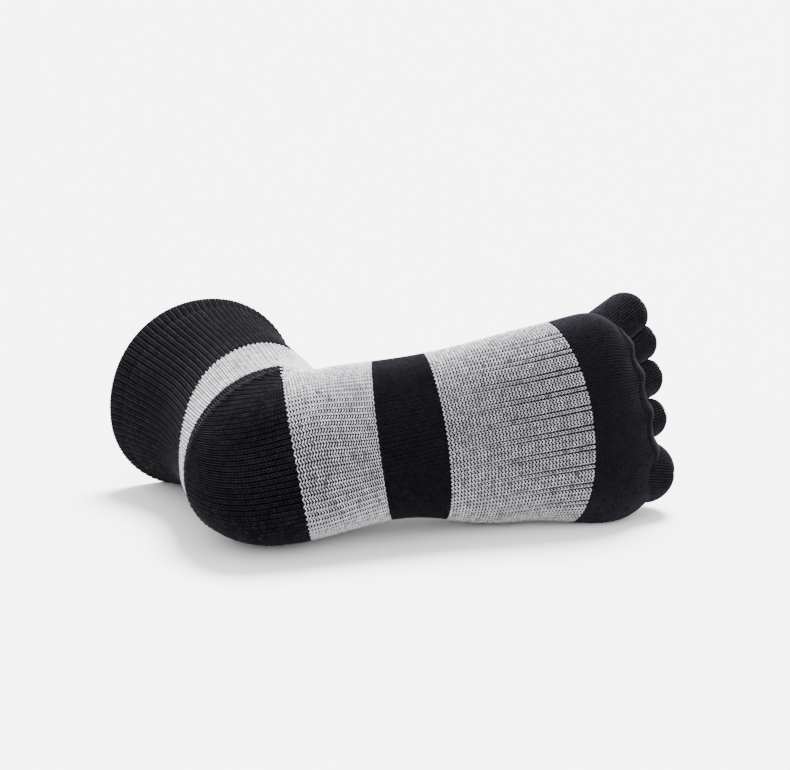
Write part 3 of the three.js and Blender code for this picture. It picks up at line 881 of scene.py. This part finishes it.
# %% Knit the ankle panel
SHANK_WALES = 84
UPPER_WALES = 96
UPPER_COURSES = 22
SHANK_COURSES = 31
ankle_strip = zone_grid(CUFF_EDGE, HEEL_UPPER, rows=14, columns=PLAIN_COLUMNS)
shank_strip = zone_grid(HEEL_LOWER, ARCH_REAR, rows=24, columns=PLAIN_COLUMNS)
ankle_cloth = cloth_mesh("ankle_cloth", [ankle_strip, shank_strip])
upper_net = zone_net(CUFF_EDGE, HEEL_UPPER, UPPER_COURSES, UPPER_WALES)
shank_net = zone_net(HEEL_LOWER, ARCH_REAR, SHANK_COURSES, SHANK_WALES)
ankle_net = join_nets(upper_net, shank_net)
knit("ankle_panel_knit", ankle_cloth, ankle_net, GREY_YARN, GREY_GROUND_PAINTED_SHADE,
     back=GREY_BACK, tone=(0.64, 0.15), wall=WALL - GROUND_SINK, stitch=OPEN_STITCH)

# %% [markdown]
# ## The heel pocket
#
# A turned heel is knitted to and fro. Its wales start square on the sole's edge and droop towards the
# middle of the heel, where they turn up round its back. A soft welt follows the upper edge. There they
# end, and short ribs stand square on the edge instead. The rows of the grey ankle could run on over the
# heel, but a turned heel is knitted in rows of its own, and so it gets a net of its own.

# %% Where the heel's wales run
HEEL_WALES = 95
NARROW = 0.85  # wales stand this close on the sole, and further apart at the sides
WIDEN = 2.4
HEEL_COURSE = 1.05
LONGEST_WALE = 120  # no wale of the heel is longer
DROOP = 0.62  # in radians, how far a wale leaves the straight way
DROOP_RUN = 60.0  # within this way
WELT_NEAR = 3.5  # below the upper edge at the back
WELT_FAR = 9.0  # and at the corners
WELT_WIDTH = 1.8
WELT_HEIGHT = 0.9
WELT_RUN = 15  # the welt fades where the heel is narrower than this
WELT_HIGHLIGHT_RUN = (2.2, 1.5)  # below and above the welt's line the stitches get a painted highlight: a lighter tone for the light the welt catches
WELT_PAINTED_HIGHLIGHT = 0.7
RIB_PAINTED_HIGHLIGHT = 0.3  # and a weaker painted highlight on the short ribs above it


def ease(share):
    share = np.clip(share, 0, 1)
    return share * share * (3 - 2 * share)


def heel_way(behind, wale):
    """Station and angle of a wale at a distance behind the sole's edge."""
    run = np.clip(behind / DROOP_RUN, 0, 1)
    droop = DROOP * ease((wale + 0.1) / 1.6)
    angle = wale - droop * (0.6 * run + 0.4 * ease(run))
    return HEEL_LOWER.at(angle) - behind, angle


def turned_back(angle):
    return (angle + np.pi) % TAU - np.pi


def welt_at(angle):
    return WELT_NEAR + (WELT_FAR - WELT_NEAR) * ease(np.abs(turned_back(angle)) / LATERAL_CORNER)


def heel_skin(station, angle, sink=0.0):
    length = HEEL_LOWER.at(angle) - HEEL_UPPER.at(angle)
    below = station - HEEL_UPPER.at(angle)
    welt = WELT_HEIGHT * np.exp(-((below - welt_at(angle)) / WELT_WIDTH) ** 2) * ease(length / WELT_RUN)
    return skin(station, angle, sink - welt)


# %% The cloth of the heel
sector_turns = np.sort(turned_back(even_angles(HEEL_MIDDLE, ring_shares(PLAIN_COLUMNS))))
inside = (sector_turns > MEDIAL_CORNER - TAU) & (sector_turns < LATERAL_CORNER)
sector = np.concatenate([[MEDIAL_CORNER - TAU], sector_turns[inside], [LATERAL_CORNER]])
down = np.linspace(0, 1, 61)[:, None]
heel_stations = between(HEEL_UPPER, HEEL_LOWER, down, sector)
heel_grid = Grid(heel_skin(heel_stations, sector, GROUND_SINK), False)
heel_cloth = cloth_mesh("heel_cloth", [heel_grid], weld=0.05)

# %% The stitches of the heel


def heel_net():
    nets = []
    shares = centres(HEEL_WALES) - 0.5
    wales = even_angles(HEEL_MIDDLE, NARROW * shares + WIDEN * shares ** 3)
    width = np.gradient(wales)
    for wale, room in zip(wales, width):
        if not MEDIAL_CORNER - TAU < wale < LATERAL_CORNER:
            continue
        behind = np.arange(0, LONGEST_WALE, 0.25)
        station, angle = heel_way(behind, wale)
        end = behind[np.argmax(station < HEEL_UPPER.at(angle) + welt_at(angle))]
        courses = int(round(end / HEEL_COURSE))
        if courses > 0:
            ahead = -end * (1 - centres(courses))
            nets.append(stitch_net(lambda way, turn, sink: heel_skin(*heel_way(-way, turn), sink),
                                   ahead, np.full(courses, wale), end / courses, room))
            # Painted highlight: stitches just below the welt get a lighter tone.
            nets[-1]["lift"] = np.where(ahead < WELT_HIGHLIGHT_RUN[0] - end, WELT_PAINTED_HIGHLIGHT, 0.0)
        top, length = HEEL_UPPER.at(wale), HEEL_LOWER.at(wale) - HEEL_UPPER.at(wale)
        above = min(length, welt_at(wale))
        courses = int(above / HEEL_COURSE)
        if courses > 0:
            stations = top + above * (np.arange(courses) + 0.5) / courses
            nets.append(stitch_net(heel_skin, stations, np.full(courses, wale), above / courses, room))
            # Painted highlight: a lighter tone on the welt, and a weaker one on the short ribs above it.
            in_welt_highlight = stations > top + welt_at(wale) - WELT_HIGHLIGHT_RUN[1]
            nets[-1]["lift"] = np.where(in_welt_highlight, WELT_PAINTED_HIGHLIGHT, RIB_PAINTED_HIGHLIGHT)
    return join_nets(*nets)


knit("heel_pocket_knit", heel_cloth, heel_net(), BLACK_YARN, BLACK_GROUND_PAINTED_SHADE,
     back=BLACK_YARN, tone=(0.22, 0.2), wall=WALL - GROUND_SINK, thickness=0.8)

# %% [markdown]
# ## The arch band and the ribbed forefoot
#
# The arch band is a plain black ring that grips the arch. In the forefoot single wales stand between
# two furrows, with three plain wales between one pair and the next. The furrows open from the arch band
# to the ball of the foot, where the knit is stretched widest.

# %% Knit the arch band
ARCH_WALES = 112
ARCH_COURSES = 28
arch_wall = ring_wall(ARCH_REAR, ARCH_FRONT, 12, ring_shares(PLAIN_COLUMNS), lambda t: 0.0)
arch_net = zone_net(ARCH_REAR, ARCH_FRONT, ARCH_COURSES, ARCH_WALES)
knit("arch_band_knit", arch_wall, arch_net, BLACK_YARN, BLACK_GROUND_PAINTED_SHADE, back=BLACK_YARN,
     tone=(0.24, 0.2), thickness=0.65, stitch=EVEN_STITCH)

# %% Furrows of the forefoot
RIB_PAIRS = 26
PAIR_WALES = 4  # one between the furrows and three plain ones
FOREFOOT_COURSES = 43
FURROW_DEPTH = 0.9
FURROW_OPEN = 0.1  # share of a pair's width that each furrow takes where it is widest
FURROW_START = 0.05  # share of the zone where the furrows begin


def furrow(t):
    return np.clip((t - FURROW_START) / (1 - FURROW_START), 0, 1) ** 0.7


PAIR_STOPS = np.array([0.0, 0.045, 0.125, 0.205, 0.25, 0.295, 0.5, 0.75, 0.955])
PAIR_SINK = np.array([1.0, 0.35, 0.0, 0.35, 1.0, 0.35, 0.0, 0.0, 0.35])


def pair_relief(t):
    return np.tile(PAIR_SINK, RIB_PAIRS) * FURROW_DEPTH * (0.25 + 0.75 * furrow(t))


# %% Knit the forefoot


def forefoot_shares():
    rows = []
    for t in centres(FOREFOOT_COURSES):
        gap = FURROW_OPEN * furrow(t)
        room = (0.75 - gap) / 3
        places = np.array([0.125] + [0.25 + gap / 2 + room * (k + 0.5) for k in range(3)])
        rows.append((np.arange(RIB_PAIRS)[:, None] + places).ravel() / RIB_PAIRS)
    return np.stack(rows)


pair_shares = (np.arange(RIB_PAIRS)[:, None] + PAIR_STOPS).ravel() / RIB_PAIRS
forefoot_wall = ring_wall(ARCH_FRONT, PAD_REAR, 18, pair_shares, pair_relief, edge=1)
forefoot_wales = RIB_PAIRS * PAIR_WALES
courses_share = centres(FOREFOOT_COURSES)[:, None]
pair_width = np.array([1 - 4 * FURROW_OPEN, 1 - FURROW_OPEN, 1 - FURROW_OPEN, 1 - FURROW_OPEN])
wale_widths = 1 - (1 - np.tile(pair_width, RIB_PAIRS)) * furrow(courses_share)
forefoot_net = zone_net(ARCH_FRONT, PAD_REAR, FOREFOOT_COURSES, forefoot_wales,
                        shares=forefoot_shares(), widths=wale_widths)
knit("forefoot_knit", forefoot_wall, forefoot_net, GREY_YARN, GREY_GROUND_PAINTED_SHADE,
     back=GREY_BACK, tone=(0.62, 0.15), stitch=OPEN_STITCH)

# %% [markdown]
# ## Toes
#
# Each toe pocket is a short tube with a round tip. It starts on the toe box, leans a little outwards and
# is pressed flat against its neighbours. Its wales run along it. A stretched sphere would be quicker,
# but five of them would cut into each other. Here each point is pushed back to a plane between two toes.

# %% Toe forms
TOE_LENGTH = 22
TOE_WIDTH = 24
TOE_NAMES = ("big_toe", "second_toe", "third_toe", "fourth_toe", "little_toe")
TOE_ROWS = np.array([  # root x, h, w; reach, rise, drift to the tip centre; root and tip radius
    (0.869, 0.22, -0.316, 0.68, 0.09, -0.2, 0.69, 0.645),
    (0.886, 0.264, -0.112, 0.86, 0.32, -0.05, 0.48, 0.44),
    (0.878, 0.286, 0.061, 0.95, 0.36, 0.07, 0.48, 0.44),
    (0.861, 0.308, 0.214, 1.09, 0.36, 0.18, 0.48, 0.42),
    (0.837, 0.33, 0.316, 1.11, 0.36, 0.36, 0.53, 0.49),
])
TOE_ROOTS = TOE_ROWS[:, 0:3] * (FOOT_LENGTH, INSTEP_HEIGHT, BALL_WIDTH)
TOE_TIPS = TOE_ROOTS + TOE_ROWS[:, 3:6] * TOE_LENGTH
TOE_ROOT_RADII = TOE_ROWS[:, 6] * TOE_WIDTH
TOE_TIP_RADII = TOE_ROWS[:, 7] * TOE_WIDTH

# %% The surface of a toe, pressed flat between its neighbours
PRESS_SOFTNESS = 1.0  # millimetres over which a toe turns from round to flat


def toe_surface(toe):
    root, tip = TOE_ROOTS[toe], TOE_TIPS[toe]
    length = np.linalg.norm(tip - root)
    axis = (tip - root) / length
    sole_way = unit(np.array([0.0, -1.0, 0.0]) + axis[1] * axis)
    side_way = np.cross(sole_way, axis)
    walls = []
    for other in (toe - 1, toe + 1):
        if 0 <= other < len(TOE_ROWS):
            way = unit(TOE_TIPS[other] - tip)
            lead = (TOE_TIP_RADII[toe] - TOE_TIP_RADII[other]) / 2
            walls.append((way, (TOE_TIPS[other] + tip) / 2 + way * lead))

    def foot_frame(down, turn, sink):
        shaft = np.clip(down, 0, 1)[..., None]
        cap = (np.clip(down - 1, 0, 1) - np.clip(-down, 0, 1))[..., None] * np.pi / 2
        sink = np.asarray(sink, float)[..., None]
        radius = TOE_ROOT_RADII[toe] + (TOE_TIP_RADII[toe] - TOE_ROOT_RADII[toe]) * shaft - sink
        centre = root + axis * (length * shaft + radius * np.sin(cap))
        way = np.cos(turn)[..., None] * sole_way + np.sin(turn)[..., None] * side_way
        point = centre + radius * np.cos(cap) * way
        for across, face in walls:
            over = ((point - face) @ across)[..., None] + GAP / 2 + sink
            point = point - across * (over + np.hypot(over, PRESS_SOFTNESS)) / 2
        return point

    return foot_frame


def toe_skin(toe):
    form = toe_surface(toe)
    return lambda down, turn, sink=0.0: rest(form(down, turn, sink), sink)


# %% Depth of a point inside the toe box
END = {name: float(value) for name, value in section_at(np.array(TOE_ROOT)).items()}


def dome_depth(point):
    x, h, w = np.moveaxis(point, -1, 0)
    side = w - END["shift"]
    half = np.hypot(END["back_x"] - END["front_x"], END["back_h"] - END["front_h"]) / 2
    middle_h = (END["back_h"] + END["front_h"]) / 2
    rise = (middle_h + END["lean"] * side - h) / half
    push = (x - (END["back_x"] + END["front_x"]) / 2 + END["slant"] * side) / PAD_DEPTH
    across = np.abs(side) / np.where(side > 0, END["lateral"], END["medial"])
    power = np.where(rise > 0, END["back_round"], ROUND)
    ring = (np.abs(rise) ** power + across ** power) ** (2 / power)
    return ring + np.where(push > 0, push, 0) ** 2


# %% Where each toe starts
TOE_WALE = 1.45
TOE_COURSE = 1.2
TOE_SEAT = 0.8  # how deep in the toe box a toe starts, 1 being its skin
TIP_STOP = 1.76  # where the round tip has room for only half of the wales
TIP_COURSES = 4
TOE_COLUMNS = 40  # quads round a toe
TIP_WAY = 1.2  # way of the shaft's courses over the tip, in radii
TOE_BACK = -0.98  # a toe may start this far round the cap behind its root


def toe_starts(toe, turns):
    down = np.linspace(TOE_BACK, 1, 200)
    depth = dome_depth(toe_surface(toe)(down[:, None], turns[None, :], 0.0))
    last = len(down) - 1 - np.argmax(depth[::-1] < TOE_SEAT, axis=0)
    return down[last]


# %% Knit the toes
for toe, name in enumerate(TOE_NAMES):
    surface = toe_skin(toe)
    turns = ring_shares(TOE_COLUMNS) * TAU
    starts = toe_starts(toe, turns)
    share = np.linspace(0, 1, 19)[:, None]
    toe_grid = Grid(surface(starts + (2 - starts) * share, turns, GROUND_SINK), True)
    cloth = cloth_mesh("toe_cloth", [toe_grid])
    radius = (TOE_ROOT_RADII[toe] + TOE_TIP_RADII[toe]) / 2
    wales = int(round(TAU * radius / TOE_WALE))
    turns = centres(wales) * TAU
    starts = toe_starts(toe, turns)
    length = np.linalg.norm(TOE_TIPS[toe] - TOE_ROOTS[toe]) * (1 - starts.mean()) + radius * TIP_WAY
    courses = int(round(length / TOE_COURSE))
    share = centres(courses)[:, None]
    downs = starts + (TIP_STOP - starts) * share
    shaft = stitch_net(surface, downs, np.broadcast_to(turns, downs.shape), (TIP_STOP - starts) / courses,
                       TAU / wales, step=0.001)
    near = TIP_STOP + (2 - TIP_STOP) * (np.arange(TIP_COURSES) + 0.3)[:, None] / TIP_COURSES
    around = np.broadcast_to(turns[::2] + TAU / wales / 2, (TIP_COURSES, len(turns[::2])))
    tip = stitch_net(surface, np.broadcast_to(near, around.shape), around, (2 - TIP_STOP) / TIP_COURSES,
                     2 * TAU / wales, step=0.001)
    knit(name + "_knit", cloth, join_nets(shaft, tip), BLACK_YARN, BLACK_GROUND_PAINTED_SHADE,
         tone=(0.8, 0.28), wall=WALL - GROUND_SINK, thickness=0.65)

# %% [markdown]
# ## The toe box
#
# The toe box covers the ball of the foot and closes in a low dome behind the toes, which grow out of it.
# Where a toe pocket joins it the cloth is open into the toe. A Boolean could cut these openings. To
# leave out the faces and stitches that lie inside a toe is simpler and keeps the rest of the mesh.

# %% Openings into the toes
PAD_WALES = 160
PAD_COURSES = 24
DOME_COURSES = 13
DOME_KNIT = 0.8  # share of the dome that stitches cover; its middle lies inside the toes
PAD_COLUMNS = 216


def toe_inside(point, margin):
    inside = np.zeros(point.shape[:-1], bool)
    for toe in range(len(TOE_NAMES)):
        root, tip = TOE_ROOTS[toe], TOE_TIPS[toe]
        axis = tip - root
        share = np.clip((point - root) @ axis / (axis @ axis), 0, 1)[..., None]
        reach = np.linalg.norm(point - (root + axis * share), axis=-1)
        inside |= reach < TOE_ROOT_RADII[toe] - margin
    return inside


def to_foot(point):
    x, y, z = np.moveaxis(point - SHIFT, -1, 0)
    along = x * np.cos(LIE_ANGLE) + z * np.sin(LIE_ANGLE)
    return np.stack([along, y, z * np.cos(LIE_ANGLE) - x * np.sin(LIE_ANGLE)], axis=-1)


# %% The padded edge
# It bulges over the roots of the toes, a little further between two toes than below each.
WEBS = [-21.3, -2.3, 16.4, 31.1]  # across the foot
WEB_REACH = 2.4
WEB_WIDTH = 4.5
EDGE_REACH = -1.5
WEB_RUN = 12.0  # how far back the edge's waves fade out
EDGE_PAST = (8, 6)  # the edge is drawn back this far past the outer webs
EDGE_FADE = 2


def pad_skin(station, angle, sink=0.0):
    point = foot_point(station, angle, sink)
    across = point[..., 2]
    web = sum(np.exp(-((across - middle) / WEB_WIDTH) ** 2) for middle in WEBS)
    from_big = 1 + np.exp(-(across - WEBS[0] + EDGE_PAST[0]) / EDGE_FADE)
    to_little = 1 + np.exp((across - WEBS[-1] - EDGE_PAST[1]) / EDGE_FADE)
    among = 1 / from_big / to_little
    near = np.clip((station - TOE_ROOT + WEB_RUN) / WEB_RUN, 0, 1) ** 2
    point[..., 0] += near * (WEB_REACH * web + EDGE_REACH * among)
    return rest(point, sink)


# %% Knit the toe box
TOE_EDGE = Edge(TOE_ROOT, lambda angle: TOE_ROOT + 0.0 * angle)
dome_share = np.linspace(0, 1, 15)[1:, None]
pad_angles = even_angles(TOE_ROOT, ring_shares(PAD_COLUMNS))
dome_angles = np.broadcast_to(pad_angles, (len(dome_share), PAD_COLUMNS))
dome_grid = pad_skin(TOE_ROOT + dome_share, dome_angles, GROUND_SINK)
box_grid = zone_grid(PAD_REAR, TOE_EDGE, rows=18, columns=PAD_COLUMNS, surface=pad_skin)
pad_points = np.concatenate([box_grid.points, dome_grid])
pad_cloth = cloth_mesh("pad_cloth", [Grid(pad_points, True)],
                       drop=lambda middles: toe_inside(to_foot(middles), 3.0))
pad_net = zone_net(PAD_REAR, TOE_EDGE, PAD_COURSES, PAD_WALES, surface=pad_skin)
turns = even_angles(TOE_ROOT, centres(PAD_WALES))
dome_ways = (centres(DOME_COURSES) * DOME_KNIT)[:, None]
dome_stations = TOE_ROOT + np.broadcast_to(dome_ways, (DOME_COURSES, PAD_WALES))
dome_net = stitch_net(pad_skin, dome_stations, np.broadcast_to(turns, dome_stations.shape),
                      DOME_KNIT / DOME_COURSES, np.gradient(turns), step=0.001)
pad_net = join_nets(pad_net, dome_net)
seen = ~toe_inside(to_foot(pad_net["place"]), 1.0)
pad_net = {name: value[seen] for name, value in pad_net.items()}
knit("toe_box_knit", pad_cloth, pad_net, BLACK_YARN, BLACK_GROUND_PAINTED_SHADE, back=BLACK_YARN,
     tone=(0.95, 0.25), wall=WALL - GROUND_SINK, thickness=0.7, stitch=EVEN_STITCH)

# %% [markdown]
# ## Floor and light
#
# The set is a plain white floor, many times wider than the sock. One large soft light above and behind
# it works like the sun through thin cloud, and a white room fills the shadows. An area lamp would fade
# over the set, and a sun lights all of it alike.

# %% Paper floor
FLOOR_HALF = 12.0  # in metres
PAPER = "#cfcfcf"  # lit by the lamp and the room together, it renders near white
floor_mesh = bpy.data.meshes.new("floor")
corners = [(x * FLOOR_HALF, y * FLOOR_HALF, 0) for x, y in ((-1, -1), (1, -1), (1, 1), (-1, 1))]
floor_mesh.from_pydata(corners, [], [(0, 1, 2, 3)])
floor = object_with("floor", floor_mesh)
paper = bpy.data.materials.new("white_paper")
paper.use_nodes = True
finish = paper.node_tree.nodes["Principled BSDF"].inputs
finish["Base Color"].default_value = linear(PAPER)
finish["Roughness"].default_value = 0.9
floor_mesh.materials.append(paper)
print("floor", 2 * FLOOR_HALF, "metres wide")

# %% Lamp and room
SUN_STRENGTH = 23.0
SUN_SIZE = np.radians(24)  # the wider, the softer the shadows
SUN_WAY = Vector((0.3, 0.35, 1))  # towards the light: behind the sock, a little to the toes
ROOM_STRENGTH = 3.9
key_data = bpy.data.lights.new("key", "SUN")
key_data.energy, key_data.angle = SUN_STRENGTH, SUN_SIZE
key = object_with("key", key_data)
key.rotation_euler = SUN_WAY.to_track_quat("Z", "Y").to_euler()
world = bpy.data.worlds.new("studio")
world.use_nodes = True
room = world.node_tree.nodes["Background"].inputs
room["Color"].default_value = (1, 1, 1, 1)
room["Strength"].default_value = ROOM_STRENGTH
bpy.context.scene.world = world
print("lamp", key_data.energy, "and room", ROOM_STRENGTH)

# %% [markdown]
# ## Tidy up
#
# The three stitch shapes are only patterns for the tree, so they are removed.

# %% Finish
for shape in (OPEN_STITCH, CLOSE_STITCH, EVEN_STITCH):
    bpy.data.objects.remove(shape)
